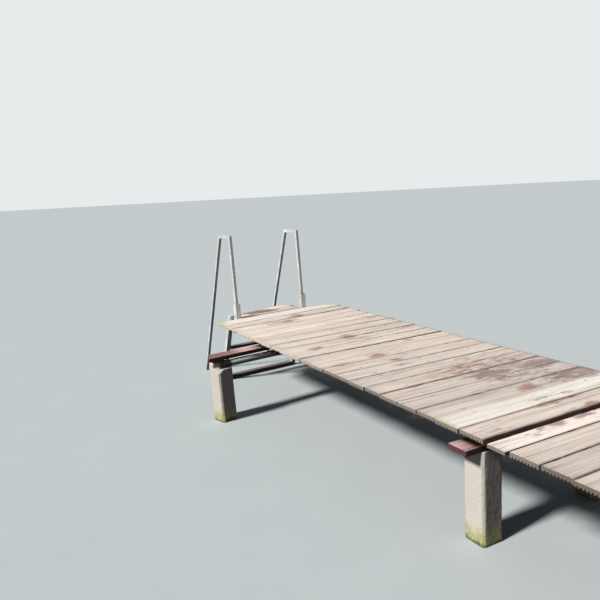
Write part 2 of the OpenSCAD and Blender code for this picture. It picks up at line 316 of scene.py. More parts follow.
def fibre_point(net, along):
    """Place in the wood, with its fibres along Y. Dressed pieces carry it as an attribute."""
    if along == "made":
        return net.attribute("grain_point")
    place = net.place()
    if along == "Y":
        return net.scaled(place, (1, 1, 1), PITH_OFF)
    x, y, z = net.split(place)
    return net.scaled(net.join(y, x, z), (1, 1, 1), PITH_OFF)


def wood(name, pale, mid, dark, along="made", grey=0.35, worn=True, sides=None):
    """Weathered softwood: growth rings, fibres, checks, knots and blotches, then its marks."""
    net = Net(bpy.data.materials.new(name))
    point = fibre_point(net, along)
    late = growth_rings(net, point)
    fibres = net.fibrous(point, 620, 9, 4, 0.65)
    streaks = net.fibrous(point, 120, 2.2, 4, 0.6)
    checks = net.smooth(net.fibrous(point, 190, 1.7, 2, 0.4), 0.665, 0.715)
    color = grain_color(net, point, (pale, mid, dark), late, fibres, streaks)
    color = net.mix(blotches(net, point, grey), color, GREYED)
    color = net.mix(net.math("MULTIPLY", checks, 0.8), color, CRACK)
    color = net.mix(net.math("MULTIPLY", knot_spots(net, point), 0.75), color, KNOT)
    if worn:
        color = marks(net, point, color, fibres, streaks)
    if sides:
        color = side_tones(net, color, sides, streaks, fibres)
    height = net.math("ADD", net.math("MULTIPLY", late, 0.35), net.math("MULTIPLY", fibres, 0.8))
    height = net.math("ADD", height, net.math("MULTIPLY", checks, -1.6))
    rough = net.smooth(fibres, 0.3, 0.7, 0.72, 0.92)
    return net.finish(color, rough, net.bump(height, 0.55, 0.0012), specular=0.25)


def growth_rings(net, point):
    """How much late wood shows, from rings round the pith that the noise bends a little."""
    warp = net.fibrous(point, 9, 1.1, 3)
    parts = net.split(point)
    squares = [net.math("MULTIPLY", part, part) for part in (parts[0], parts[2])]
    radius = net.math("SQRT", net.math("ADD", *squares))
    radius = net.math("ADD", radius, net.math("MULTIPLY", warp, RING_BEND))
    ring = net.math("SINE", net.math("MULTIPLY", radius, 2 * math.pi / RING_STEP))
    return net.smooth(ring, 0.1, 0.95)


def grain_color(net, point, tones, late, fibres, streaks):
    """The three tones of a wood, laid along its streaks, bands, rings and fibres."""
    pale, mid, dark = tones
    bands = net.fibrous(point, 36, 0.9, 3, 0.6)
    color = net.mix(net.smooth(streaks, 0.32, 0.68), mid, pale)
    color = net.mix(net.smooth(bands, 0.42, 0.70, 0, 0.45), color, dark)
    color = net.mix(net.math("MULTIPLY", late, 0.26), color, dark)
    return net.mix(net.smooth(fibres, 0.52, 0.74, 0, 0.42), color, dark)


def blotches(net, point, most):
    """Where the weather has greyed the wood, up to the given share."""
    return net.smooth(net.fibrous(point, 11, 2.4, 4, 0.6), 0.46, 0.72, 0, most)


def side_tones(net, color, sides, streaks, fibres):
    """Darker long sides and underside, partly weathered and partly painted shade, and end grain, which is
    bleached near the lake if asked.
    """
    flat, end, *bleached = sides
    if bleached:
        end = end_tone(net, end, bleached[0])
    along, up = net.facing()[1:]
    low = net.mix(streaks, flat, tuple(c * 0.45 for c in flat))
    deep = net.mix(1.0, end, (0.6, 0.6, 0.6), "MULTIPLY")
    grain = net.mix(net.smooth(fibres, 0.35, 0.65), end, deep)
    low = net.mix(net.smooth(net.math("ABSOLUTE", along), 0.45, 0.8), low, grain)
    # Faces that don't look up take the dark side tones, which are partly painted shade
    return net.mix(net.smooth(up, 0.30, 0.75), low, color)


def end_tone(net, end, bleached):
    """Tone of the boards' sawn ends: darker towards the shore as painted shade, and bleached on the lake
    third.
    """
    place = net.split(net.place())[0]
    shore, middle = (tuple(c * share for c in end) for share in (0.6, 0.9))
    shaded, bright = ([END_X - far for far in band] for band in (SHADED_ENDS, BLEACHED_ENDS))
    # Painted shade: the sawn ends towards the shore are darker
    tone = net.mix(net.smooth(place, *shaded), shore, middle)
    return net.mix(net.smooth(place, *bright), tone, bleached)


def knot_spots(net, point):
    """Small round knots, scattered well apart."""
    cells = net.scaled(point, (9.0, 1.35, 9.0))
    few = net.math("GREATER_THAN", net.split(net.cells(cells, 1.0, "Color"))[0], 0.78)
    return net.math("MULTIPLY", net.smooth(net.cells(cells, 1.0), 0.075, 0.045), few)


def blurred(net, amount, patch, streaks):
    """A mark whose edge is broken up by the grain."""
    drag = net.math("MULTIPLY_ADD", net.math("SUBTRACT", patch, 0.5), 2.6, amount)
    drag = net.math("ADD", drag, net.math("MULTIPLY", net.math("SUBTRACT", streaks, 0.5), 1.2))
    return net.math("MULTIPLY", net.smooth(drag, 0.22, 0.85), net.smooth(amount, 0.03, 0.35))


def marks(net, point, color, fibres, streaks):
    """Each board's own tone, and the stains, moss, screw marks and dirt that its attributes place; the
    dirt along the top edges is partly painted shade of the gaps.
    """
    color = toned(net, color)
    patch = net.fibrous(point, 42, 13, 5, 0.72)
    fine = net.smooth(fibres, 0.4, 0.62)
    hue = net.mix(net.smooth(patch, 0.44, 0.58), *RED_STAIN)
    # Red stain, dark stain and moss: how much of the wood they hide, and their tones
    looks = (
        (0.78, net.mix(fine, hue, RED_STAIN_DEEP)),
        (0.72, net.mix(fine, *DARK_STAIN)),
        (0.85, net.mix(fine, *MOSS)),
    )
    for amount, (most, tone) in zip(net.split(net.attribute("marks")), looks):
        color = net.mix(net.math("MULTIPLY", blurred(net, amount, patch, streaks), most), color, tone)
    dirt_and_gap_shade, across, along = net.split(net.attribute("wear"))
    color = net.mix(screw_weep(net, across, along, patch), color, SCREW_STAIN)
    # Dirt on the top edges and ends, partly painted shade along the gaps
    dirt_and_gap_shade = net.math("MULTIPLY", dirt_and_gap_shade, net.smooth(fibres, 0.25, 0.6, 0.45, 1.0))
    return net.mix(net.math("MULTIPLY", dirt_and_gap_shade, 0.8), color, GRIME_AND_GAP_SHADE)


def toned(net, color):
    """Brightness, pinkness and greyness from a board's attribute."""
    bright, pink, silver = net.split(net.attribute("tone"))
    color = net.mix(1.0, color, net.join(bright, bright, bright), "MULTIPLY")
    color = net.mix(pink, color, net.mix(1.0, color, PINKER, "MULTIPLY"))
    return net.mix(silver, color, SILVERED)


def screw_weep(net, across, along, patch):
    """Dark spots round the screws, whose lines run over the bearers."""
    half = BEARER_STEP / 2
    line = net.math("FLOORED_MODULO", net.math("ADD", along, half), BEARER_STEP)
    # The spots are drawn out along the board
    line = net.math("MULTIPLY", net.math("SUBTRACT", line, half), 0.42)
    far = net.math("ADD", net.math("MULTIPLY", line, line), net.math("MULTIPLY", across, across))
    near_screw = net.smooth(net.math("SQRT", far), 0.010, 0.003)
    return net.math("MULTIPLY", near_screw, net.smooth(patch, 0.40, 0.62, 0.05, 0.6))


def board_wood(slot, grey, *tones):
    """Wood of a deck board, with dark sides that are partly dirt and partly painted shade in the gaps,
    and end grain that is bleached near the lake.
    """
    # Side tone nearly black, partly as painted shade in the gaps; then the end grain, and the bleached
    # end grain
    sides = ((0.12, 0.08, 0.07), (0.32, 0.265, 0.225), (0.75, 0.65, 0.55))
    return wood(slot, *tones, grey=grey, sides=sides)


def stained_plank():
    """Wood with an old red-brown stain, nearly black in its grain, and with nearly black sides as painted
    shade.
    """
    tones = ((0.46, 0.31, 0.30), (0.24, 0.13, 0.135), (0.08, 0.035, 0.04))
    # Painted shade: the nearly black tones of the sides and ends
    sides = ((0.06, 0.025, 0.03), (0.13, 0.05, 0.055))
    return wood("stained_plank", *tones, grey=0.12, sides=sides)


def dark_timber():
    """Wood of the packers, nearly black as painted shade under the plank."""
    # Painted shade: tones near black
    tones = ((0.05, 0.042, 0.04), (0.03, 0.025, 0.023), (0.012, 0.01, 0.01))
    return wood("dark_timber", *tones, grey=0.0)


def tread_wood():
    """Grey-brown wood of the ladder's treads, made dark as painted shade under the deck, with sides
    darker still as painted shade.
    """
    # Painted shade: all tones darkened for the shade under the deck
    tones = ((0.24, 0.205, 0.205), (0.14, 0.115, 0.12), (0.055, 0.043, 0.047))
    # Painted shade: dark sides and ends
    sides = ((0.06, 0.05, 0.05), (0.15, 0.12, 0.12))
    return wood("tread_wood", *tones, grey=0.25, sides=sides)


def beam_wood(name, along):
    """Brown wood of the timbers under the deck, which no weather marks."""
    tones = ((0.17, 0.14, 0.13), (0.10, 0.085, 0.08), (0.04, 0.03, 0.03))
    return wood(name, *tones, along, worn=False)


def surface_woods():
    """The material of every slot that a dressed plank may have."""
    boards = {
        "deck_board": (0.35, (0.88, 0.81, 0.735), (0.73, 0.635, 0.565), (0.36, 0.27, 0.235)),
        "bleached_board": (0.25, (0.95, 0.885, 0.83), (0.85, 0.77, 0.71), (0.50, 0.42, 0.36)),
        "new_board": (0.20, (0.89, 0.85, 0.79), (0.84, 0.79, 0.72), (0.60, 0.54, 0.48)),
        "plain_board": (0.15, (0.98, 0.92, 0.86), (0.94, 0.865, 0.80), (0.62, 0.50, 0.45)),
    }
    woods = {slot: board_wood(slot, *looks) for slot, looks in boards.items()}
    woods["stained_plank"] = stained_plank()
    woods["dark_timber"] = dark_timber()
    woods["tread_wood"] = tread_wood()
    return woods


def concrete():
    """Cast concrete with fine pits, runs of damp, and algae towards the foot, and painted shade on the
    faces towards the shore.
    """
    net = Net(bpy.data.materials.new("Concrete"))
    place = net.place()
    cloud = net.noise(place, 7.0, 5, 0.65)
    grain = net.noise(place, 160.0, 4, 0.7)
    pits = net.smooth(net.cells(place, 95.0), 0.20, 0.06)
    gravel = net.smooth(net.cells(place, 42.0), 0.34, 0.16)
    runs = net.noise(net.scaled(place, (26, 26, 2.2)), 1.0, 4, 0.6)
    color = net.mix(cloud, *CEMENT)
    color = net.mix(net.smooth(grain, 0.45, 0.75, 0, 0.3), color, SAND)
    color = net.mix(net.math("MULTIPLY", gravel, 0.2), color, PEBBLE)
    color = net.mix(net.math("MULTIPLY", pits, 0.6), color, PIT)
    color = net.mix(net.smooth(runs, 0.56, 0.78, 0, 0.45), color, DAMP_RUN)
    # Painted shade that darkens the faces towards the shore
    color = net.mix(net.smooth(net.facing()[0], -0.55, -0.90, 0, 0.42), color, SHORE_FACE_SHADE)
    height = net.split(place)[2]
    creep = net.math("MULTIPLY_ADD", net.math("SUBTRACT", cloud, 0.5), 0.16, height)
    damp = net.smooth(creep, 0.115, 0.045)
    algae = net.mix(net.smooth(grain, 0.4, 0.62), *ALGAE)
    color = net.mix(net.math("MULTIPLY", damp, 0.85), color, algae)
    slime = net.smooth(creep, 0.034, 0.010)
    color = net.mix(net.math("MULTIPLY", slime, 0.8), color, SLIME)
    relief = net.math("ADD", net.math("MULTIPLY", grain, 0.6), net.math("MULTIPLY", pits, -1.4))
    relief = net.math("ADD", relief, net.math("MULTIPLY", gravel, 0.5))
    rough = net.smooth(damp, 0, 1, 0.93, 0.7)
    return net.finish(color, rough, net.bump(relief, 0.42, 0.0025), specular=0.3)


def galvanised():
    """Old zinc coating: soft spangle, chalky white bloom, grey wear and a little rust, with painted shade
    on the shore faces.
    """
    net = Net(bpy.data.materials.new("Galvanised"))
    place = net.place()
    bloom = net.noise(place, 14.0, 5, 0.65)
    fine = net.noise(place, 210.0, 3, 0.6)
    specks = net.noise(place, 48.0, 4, 0.7)
    low = net.smooth(net.split(place)[2], 0.16, 0.02)
    low = net.math("MULTIPLY", low, net.smooth(bloom, 0.3, 0.6, 0.5, 1.0))
    color = zinc_color(net, place, bloom, specks)
    color = net.mix(net.math("MULTIPLY", low, 0.6), color, FOOT_GREEN)
    # Painted shade on the shore faces, which also makes them less metallic
    painted_shade = steel_shore_shade(net, place, specks)
    color = net.mix(painted_shade, color, STEEL_SHORE_SHADE)
    dull = net.math("MAXIMUM", net.smooth(bloom, 0.4, 0.7), low)
    rough = net.smooth(dull, 0, 1, 0.42, 0.72)
    metal = net.smooth(dull, 0, 1, 0.40, 0.20)
    metal = net.math("MULTIPLY", metal, net.math("SUBTRACT", 1.0, painted_shade))
    relief = net.math("ADD", fine, net.math("MULTIPLY", specks, 0.8))
    return net.finish(color, rough, net.bump(relief, 0.25, 0.0006), metallic=metal)


def zinc_color(net, place, bloom, specks):
    """Zinc crystals under white bloom, with grey specks and points of rust."""
    spangle = net.cells(net.scaled(place, (1, 1, 0.7)), 55.0, "Color")
    color = net.mix(net.split(spangle)[0], *ZINC)
    color = net.mix(net.smooth(bloom, 0.42, 0.64, 0, 0.8), color, BLOOM)
    color = net.mix(net.smooth(specks, 0.66, 0.76, 0, 0.7), color, WORN_ZINC)
    rust = net.math("MULTIPLY", net.smooth(specks, 0.70, 0.80), net.smooth(bloom, 0.5, 0.35))
    return net.mix(net.math("MULTIPLY", rust, 0.8), color, RUST)


def steel_shore_shade(net, place, specks):
    """Painted shade on the steel's shore faces: thick on the lake legs and below the deck, and thinner on
    the deck legs, and thinnest on the sleeves."""
    x, y, z = net.split(place)
    # The handrails' lake legs are past this slanting plane, and their deck legs are before it
    reach = net.math("MULTIPLY_ADD", y, 0.096, net.math("MULTIPLY_ADD", z, 0.366, x))
    painted_shade = net.smooth(reach, END_X + 0.69, END_X + 0.75, 0, 0.86)
    painted_shade = net.math("MAXIMUM", painted_shade, net.smooth(z, DECK_TOP - 0.02, DECK_TOP - 0.06, 0, 0.88))
    upper = net.smooth(z, SLEEVE_TOP - 0.006, SLEEVE_TOP + 0.004, 0.26, 0.48)
    painted_shade = net.math("MAXIMUM", painted_shade, upper)
    painted_shade = net.math("MULTIPLY", painted_shade, net.smooth(specks, 0.3, 0.6, 1.0, 0.8))
    return net.math("MULTIPLY", painted_shade, net.smooth(net.facing()[0], -0.25, -0.75, 0.1, 1.0))


def bark_pole():
    """Peeled round pole, grey and split along its length, with bark left on its right part, its left end
    painted black as painted shade, and painted shade on its underside.
    """
    net = Net(bpy.data.materials.new("Pole"))
    point = net.attribute("grain_point")
    bark, end_shade = net.split(net.attribute("marks"))[:2]
    fibres = net.fibrous(point, 420, 8, 4, 0.65)
    streaks = net.fibrous(point, 60, 1.8, 4, 0.6)
    splits = net.smooth(net.fibrous(point, 130, 1.5, 2, 0.4), 0.63, 0.70)
    peeled = net.mix(net.smooth(streaks, 0.35, 0.65), *PEELED)
    peeled = net.mix(net.smooth(fibres, 0.5, 0.75, 0, 0.5), peeled, PEELED_FIBRE)
    peeled = net.mix(net.math("MULTIPLY", splits, 0.85), peeled, POLE_SPLIT)
    plates = net.cells(net.scaled(point, (70, 22, 70)), 1.0)
    rind = net.mix(net.smooth(plates, 0.1, 0.6), *BARK)
    color = net.mix(bark, peeled, rind)
    # Painted shade: the left end made near black
    color = net.mix(end_shade, color, net.mix(fibres, *POLE_END_SHADE))
    # Painted shade: the faces that look down turn dark
    color = net.mix(net.smooth(net.facing()[2], 0.1, -0.5, 0, 0.7), color, POLE_UNDERSIDE_SHADE)
    flat = net.math("ADD", fibres, net.math("MULTIPLY", splits, -2.0))
    height = net.math("ADD", flat, net.math("MULTIPLY", net.math("MULTIPLY", plates, bark), -3.0))
    return net.finish(color, 0.86, net.bump(height, 0.7, 0.0018), specular=0.25)


# Plain helpers


def lattice(seed, a, b):
    """Smooth repeatable noise from -1 to 1 over two arrays of coordinates."""

    def corner(i, j):
        # The usual sine hash, whose large uneven factors make neighbouring corners unlike
        h = np.sin(i * 127.1 + j * 311.7 + seed * 74.7) * 43758.5453
        return 2 * (h - np.floor(h)) - 1

    i, j = np.floor(a), np.floor(b)
    u, v = a - i, b - j
    u, v = u * u * (3 - 2 * u), v * v * (3 - 2 * v)
    near = corner(i, j) * (1 - u) + corner(i + 1, j) * u
    far = corner(i, j + 1) * (1 - u) + corner(i + 1, j + 1) * u
    return near * (1 - v) + far * v


def islands(node):
    """The points of each separate solid in a CAD node, in order along the jetty from the lake."""
    mesh = NODES[node].data
    keys = {}
    index = [keys.setdefault(tuple(round(c, 5) for c in v.co), len(keys)) for v in mesh.vertices]
    parent = list(range(len(keys)))

    def top(i):
        while parent[i] != i:
            parent[i] = parent[parent[i]]
            i = parent[i]
        return i

    for face in mesh.polygons:
        first = top(index[face.vertices[0]])
        for v in face.vertices[1:]:
            parent[top(index[v])] = first
    groups = {}
    for key, i in keys.items():
        groups.setdefault(top(i), []).append(key)
    found = [np.array(points) for points in groups.values()]
    return sorted(found, key=lambda points: -points[:, 0].mean())


def hull(points):
    """Corners of the smallest convex outline round plan points, anticlockwise."""
    ordered = sorted(set(map(tuple, np.round(points, 5))))

    def half(sequence):
        kept = []
        for p in sequence:
            while len(kept) > 1:
                (ax, ay), (bx, by) = kept[-2], kept[-1]
                if (bx - ax) * (p[1] - ay) - (by - ay) * (p[0] - ax) > 1e-9:
                    break
                kept.pop()
            kept.append(p)
        return kept[:-1]

    return np.array(half(ordered) + half(reversed(ordered)))


def spin_matrix(turn):
    """Plan points times this matrix lie as in a box turned by the angle."""
    return np.array([[math.cos(turn), -math.sin(turn)], [math.sin(turn), math.cos(turn)]])


def length_turn(outline):
    """The turn of the box of least area round an outline, whose length is along its own y."""
    least, found = math.inf, 0
    for side in np.roll(outline, -1, axis=0) - outline:
        turn = math.atan2(side[1], side[0])
        flat = outline @ spin_matrix(turn)
        size = flat.max(0) - flat.min(0)
        if size[0] * size[1] < least - 1e-7:
            least = size[0] * size[1]
            found = turn if size[1] > size[0] else turn + math.pi / 2
    # Of the two turns that are half a circle apart, the same one for timbers that lie alike
    first = -math.pi / 4 - 0.2
    return (found - first) % math.pi + first


class Slab:
    """The upright box of least plan area round a solid: its length runs along local y."""

    def __init__(self, points):
        self.outline = hull(points[:, :2])
        self.spin = spin_matrix(length_turn(self.outline))
        flat = self.outline @ self.spin
        self.low = flat.min(0)
        self.width, self.length = flat.max(0) - self.low
        self.local_outline = flat - self.low
        self.bottom = points[:, 2].min()
        self.height = points[:, 2].max() - self.bottom

    def to_frame(self, points):
        """Points in the slab's own box as points of the part."""
        flat = (points[:, :2] + self.low) @ self.spin.T
        return np.column_stack((flat, points[:, 2] + self.bottom))


# Shape of a plank


def plank_section(width, thick, ribs, near, far):
    """Closed section in x and z, rounded by near and far at its top edges, and ribbed below if asked."""
    rounding = [(1 - math.cos(a), 1 - math.sin(a)) for a in (math.pi / 6, math.pi / 3)]
    points = [(0.0, EASED), (0.0, thick - near)]
    points += [(near * x, thick - near * z) for x, z in rounding]
    points += [(near + (width - near - far) * k / TOP_STEPS, thick) for k in range(TOP_STEPS + 1)]
    points += [(width - far * x, thick - far * z) for x, z in reversed(rounding)]
    points += [(width, thick - far), (width, EASED), (width - EASED, 0.0)]
    half = [(GROOVE_MOUTH, 0), (GROOVE_BOTTOM, GROOVE_DEEP)]
    groove = half + [(-x, z) for x, z in reversed(half)]
    for j in range(ribs - 1, 0, -1):
        points += [(j * width / ribs + x, z) for x, z in groove]
    points.append((EASED, 0.0))
    return np.array(points)


def plank_points(slab, seed, ribs, wear, joints):
    """Rings of section points along a weathered plank, and how near each is to a top edge."""
    width, length, thick = slab.width, slab.length, slab.height
    rng = np.random.default_rng(seed)
    drawn = rng.uniform(0.15, 1.8, 2)
    sides = np.array([drawn[k] if joints[k] is None else joints[k] for k in (0, 1)])
    section = plank_section(width, thick, ribs, *(np.minimum(WORN_ARRIS, thick / 6) * sides))
    swell = [0 if joint is None else JOINT_PLAY * (1 - min(joint, 1)) for joint in joints]
    section[:, 0] = section[:, 0] * (width + sum(swell)) / width - swell[0]
    inner = np.linspace(END_WEAR, length - END_WEAR, max(12, int(length / RING_APART)))
    stations = np.concatenate(([0.0], inner, [length]))
    x = np.tile(section[:, 0], (len(stations), 1))
    y = np.tile(stations[:, None], (1, len(section)))
    z = np.tile(section[:, 1], (len(stations), 1))
    # 1 on the top and less down to the middle of the thickness, and from -1 to 1 across the plank
    high = np.clip((z - 0.55 * thick) / (0.45 * thick), 0, 1)
    across = 2 * x / width - 1
    z += high * top_lift(rng, x, y, across, seed, wear)
    worst = np.where(across < 0, *sides)
    edge = np.clip((np.abs(across) - 0.82) / 0.18, 0, 1) * worst
    chip = chips(across, y, seed)
    z -= high * edge * chip * CHIP_DEEP * wear
    ragged = RAGGED_IN * wear * worst * (1 + lattice(seed + 4, np.sign(across), y * 9))
    ragged += CHIP_IN * wear * chip * high
    x -= np.sign(across) * np.clip(np.abs(across) - 0.9, 0, 0.1) * 10 * ragged
    wear_ends(slab, x, y, z, seed, wear)
    return np.stack((x, y, z), axis=2), np.minimum(high * edge, 1.0)


def top_lift(rng, x, y, across, seed, wear):
    """How far a plank's top stands over its new height: cupped, sunk in parts, and furrowed."""
    cup, crown = rng.uniform(-0.9, 0.5), rng.uniform(0.2, 0.7)
    sunk = crown * (0.5 + 0.5 * lattice(seed, y * 2.3, 0 * x))
    furrows = 0.45 * (1 + lattice(seed + 1, x * 130, y * 3.1))
    return 0.001 * wear * (cup * (1 - across**2) - sunk - furrows)


def chips(across, y, seed):
    """Long and short chips out of the two top edges."""
    long_ones = np.clip(lattice(seed + 2, np.sign(across) * 7, y * 17) - 0.42, 0, 1)
    return long_ones + 0.5 * np.clip(lattice(seed + 3, np.sign(across) * 3, y * 46) - 0.5, 0, 1)


def wear_ends(slab, x, y, z, seed, wear):
    """Draws the first and last ring of a plank in a little, unevenly."""
    for row, inward in ((0, 1), (-1, -1)):
        x[row] += (slab.width / 2 - x[row]) * 0.012
        z[row] += (slab.height / 2 - z[row]) * 0.07
        y[row] += inward * 0.0016 * (1 + lattice(seed + 5, x[row] * 60, z[row] * 60)) * wear


# Pieces from solids


def grid_faces(rows, columns):
    """Quads round a closed tube of rings, and one face at each end."""
    faces = []
    for r in range(rows - 1):
        for c in range(columns):
            d = (c + 1) % columns
            faces.append((r * columns + c, r * columns + d, (r + 1) * columns + d, (r + 1) * columns + c))
    faces.append(tuple(range(columns - 1, -1, -1)))
    faces.append(tuple((rows - 1) * columns + c for c in range(columns)))
    return faces


class Builder:
    """Collects solids with their attributes and makes one mesh piece of them."""

    def __init__(self):
        self.points, self.faces, self.layers = [], [], {}

    def add(self, points, faces, **layers):
        start = sum(len(p) for p in self.points)
        self.points.append(points)
        self.faces += [tuple(i + start for i in f) for f in faces]
        for name, values in layers.items():
            full = np.broadcast_to(np.asarray(values, float), (len(points), 3))
            self.layers.setdefault(name, []).append(full)

    def make(self, name):
        mesh = bpy.data.meshes.new(name)
        mesh.from_pydata(np.concatenate(self.points).tolist(), [], self.faces)
        for key, values in self.layers.items():
            layer = mesh.attributes.new(key, "FLOAT_VECTOR", "POINT")
            layer.data.foreach_set("vector", np.concatenate(values).astype(np.float32).ravel())
        piece = bpy.data.objects.new(name, mesh)
        bpy.context.collection.objects.link(piece)
        return piece


def smooth_shade(piece, degrees=35):
    """Smooth faces that meet at less than the angle, and keep the rest sharp."""
    piece.data.shade_smooth()
    piece.data.set_sharp_from_angle(angle=math.radians(degrees))


def dress(piece, node, material):
    """Puts a made piece in place of its CAD node."""
    piece.data.materials.append(material)
    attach(piece, "root")
    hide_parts(node)


# Boards

# Where old stain is left on the deck: distance from the lake end, distance from the middle to the
# left, reach along and across the jetty, strength
RED_STAINS = [
    (0.19, 0.12, 0.045, 0.12, 2.2),
    (-0.62, 0.86, 0.12, 0.09, 1.6),
    (-0.21, -0.06, 0.05, 0.07, 1.1),
    (-0.38, 0.11, 0.06, 0.09, 0.8),
    (-0.38, 0.26, 0.07, 0.10, 0.6),
    (-1.16, 0.02, 0.06, 0.06, 1.0),
    (-1.26, -0.02, 0.05, 0.10, 0.5),
    (-1.31, 0.38, 0.04, 0.06, 0.8),
    (-1.72, 0.16, 0.04, 0.06, 1.0),
    (-2.24, -0.08, 0.04, 0.08, 0.8),
    (-2.38, -0.01, 0.03, 0.06, 0.6),
    (-2.53, -0.10, 0.03, 0.08, 0.9),
    (-2.72, -0.08, 0.04, 0.06, 1.1),
    (-2.71, -0.36, 0.02, 0.05, 0.7),
    (-2.30, 0.02, 0.12, 0.22, 0.5),
    (-2.94, -0.03, 0.03, 0.16, 0.7),
    (-3.08, -0.12, 0.04, 0.06, 1.0),
    (-3.11, 0.03, 0.035, 0.06, 1.2),
    (-3.12, 0.21, 0.03, 0.05, 1.1),
    (-3.13, 0.31, 0.02, 0.03, 0.9),
    (-4.02, -0.22, 0.05, 0.10, 0.8),
    (-4.61, 0.17, 0.05, 0.08, 0.7),
    (-5.17, -0.34, 0.05, 0.09, 0.8),
]
DARK_STAINS = [
    (-0.62, 0.92, 0.12, 0.07, 2.4),
    (0.19, 0.11, 0.035, 0.10, 2.0),
    (0.27, 0.16, 0.02, 0.07, 1.3),
    (-0.7, -0.5, 0.10, 0.09, 0.5),
    (-1.19, -0.51, 0.05, 0.10, 0.6),
    (-1.48, 0.21, 0.02, 0.05, 0.7),
    (-1.52, -0.24, 0.03, 0.07, 0.5),
    (-1.55, 0.16, 0.02, 0.08, 0.4),
    (-1.75, 0.47, 0.03, 0.06, 0.7),
    (-1.87, 0.13, 0.03, 0.05, 0.9),
    (-1.98, 0.16, 0.02, 0.07, 0.6),
    (-2.11, -0.23, 0.04, 0.06, 0.4),
    (-2.43, -0.10, 0.05, 0.12, 1.4),
    (-2.46, -0.47, 0.06, 0.14, 1.1),
    (-2.61, 0.04, 0.05, 0.20, 0.4),
    (-2.65, 0.20, 0.02, 0.06, 0.5),
    (-2.68, -0.38, 0.06, 0.10, 1.1),
    (-2.68, -0.58, 0.05, 0.08, 1.1),
    (-2.40, -0.30, 0.25, 0.30, 0.55),
    (-2.70, -0.46, 0.09, 0.22, 0.8),
    (-2.87, 0.03, 0.012, 0.08, 0.8),
    (-2.89, -0.16, 0.015, 0.03, 0.8),
    (-3.04, 0.48, 0.015, 0.05, 0.6),
    (-3.16, 0.38, 0.012, 0.03, 0.9),
    (-3.78, 0.30, 0.05, 0.16, 0.6),
    (-4.28, -0.12, 0.06, 0.14, 0.7),
    (-4.9, 0.42, 0.07, 0.10, 0.6),
]
# Where moss is: the end board's left tip, the pale board's left end, and shady places further back
MOSSES = [
    (-0.02, 0.60, 0.07, 0.05, 1.1),
    (-0.20, 0.61, 0.22, 0.015, 0.7),
    (-0.75, -0.60, 0.35, 0.012, 0.8),
    (-2.83, 0.61, 0.07, 0.02, 1.2),
    (-3.6, -0.6, 0.25, 0.03, 0.6),
    (-5.0, 0.61, 0.30, 0.03, 0.6),
]

# How far the joints between boards gape, by their distance from the lake end. At 1 the gap is as in
# the solids, below it each board reaches into the gap, by the whole play at 0, and the more a joint
# gapes, the rounder are its edges
JOINTS = {
    -0.12: 0.9,
    -0.27: 1.3,
    -0.42: 0.05,
    -0.57: 0.05,
    -0.72: 0.05,
    -0.87: 0.1,
    -1.02: 0.6,
    -1.17: 0.9,
    -1.32: 0.4,
    -1.47: 1.7,
    -1.62: 0.15,
    -1.77: 0.85,
    -1.91: 0.75,
    -2.06: 1.1,
    -2.205: 0.6,
    -2.35: 1.6,
    -2.50: 0.5,
    -2.64: 0.75,
    -2.79: 0.05,
    -2.935: 1.0,
    -3.217: 0.3,
}
JOINT_PLAY = 0.0024
# A joint is taken for the listed one when it is no farther from it than this
JOINT_NEAR = 0.03
# The boards grow paler and less grey towards the lake: how far before the end, and over what length
PALE_FROM = 3.2
PALE_OVER = 2.0
# Reach of the fade along the deck: its left half is paler towards the lake, and its right half darker
FADE_REACH = 2.6
# How much brighter, pinker and greyer a cross plank is where it stands out from under the deck, and
# over what width
BLEACHED = (1.9, 0.0, 0.35)
BLEACHED_WIDE = 0.075
# The same for the deck's left edge at the lake end
FADED = (0.06, -0.2, 0.0)
# A plank's side that is no more out of line than this isn't cut
STRAIGHT = 0.02
# Depth of the splinters where a plank is torn
TORN_DEEP = 0.010


def spots(points, table):
    """How strongly a table of soft spots covers each point, seen from above."""
    total = np.zeros(len(points))
    if points[:, 2].max() < LOWEST_STAIN:
        return total
    for x, y, rx, ry, strength in table:
        far = ((points[:, 0] - END_X - x) / rx) ** 2 + ((points[:, 1] - y) / ry) ** 2
        total = np.maximum(total, strength * np.exp(-far / 1.6))
    return total


def plank(builder, slab, seed, ribs=0, wear=1.0, tone=(1, 0.3, 0), cuts="", bleach=False, fade=False):
    """Adds one weathered plank that fills a slab. Its slanting sides are sawn or torn."""
    middle = slab.outline[:, 0].mean()
    joints = [gaping(middle + side * slab.width / 2) if fade else None for side in (-1, 1)]
    rings, edge = plank_points(slab, seed, ribs, wear, joints)
    faces = grid_faces(*rings.shape[:2])
    local = rings.reshape(-1, 3)
    edge = edge.reshape(-1)
    if cuts:
        local, faces, edge = trimmed(slab, local, faces, edge, seed if cuts == "torn" else None)
    points = slab.to_frame(local)
    rng = np.random.default_rng(seed + 500)
    pith = np.array([slab.width * rng.uniform(-0.2, 1.2), rng.uniform(0, 40), -rng.uniform(0.01, 0.09)])
    ends = np.exp(-np.minimum(local[:, 1], slab.length - local[:, 1]) / 0.02)
    screws = np.abs(local[:, 0] - slab.width / 2) - (slab.width / 2 - SCREW_IN)
    # The attributes that the wood's nodes read. The last one has the dirt, partly painted shade along the
    # gaps, the distance from the nearer row of screws, and the place across the jetty
    builder.add(
        points,
        faces,
        grain_point=local - pith * (1, -1, 1),
        tone=plank_tone(points, tone, bleach, fade),
        marks=np.column_stack([spots(points, table) for table in (RED_STAINS, DARK_STAINS, MOSSES)]),
        wear=np.column_stack((np.maximum(edge * 0.95, ends * 0.5), screws, points[:, 1])),
    )


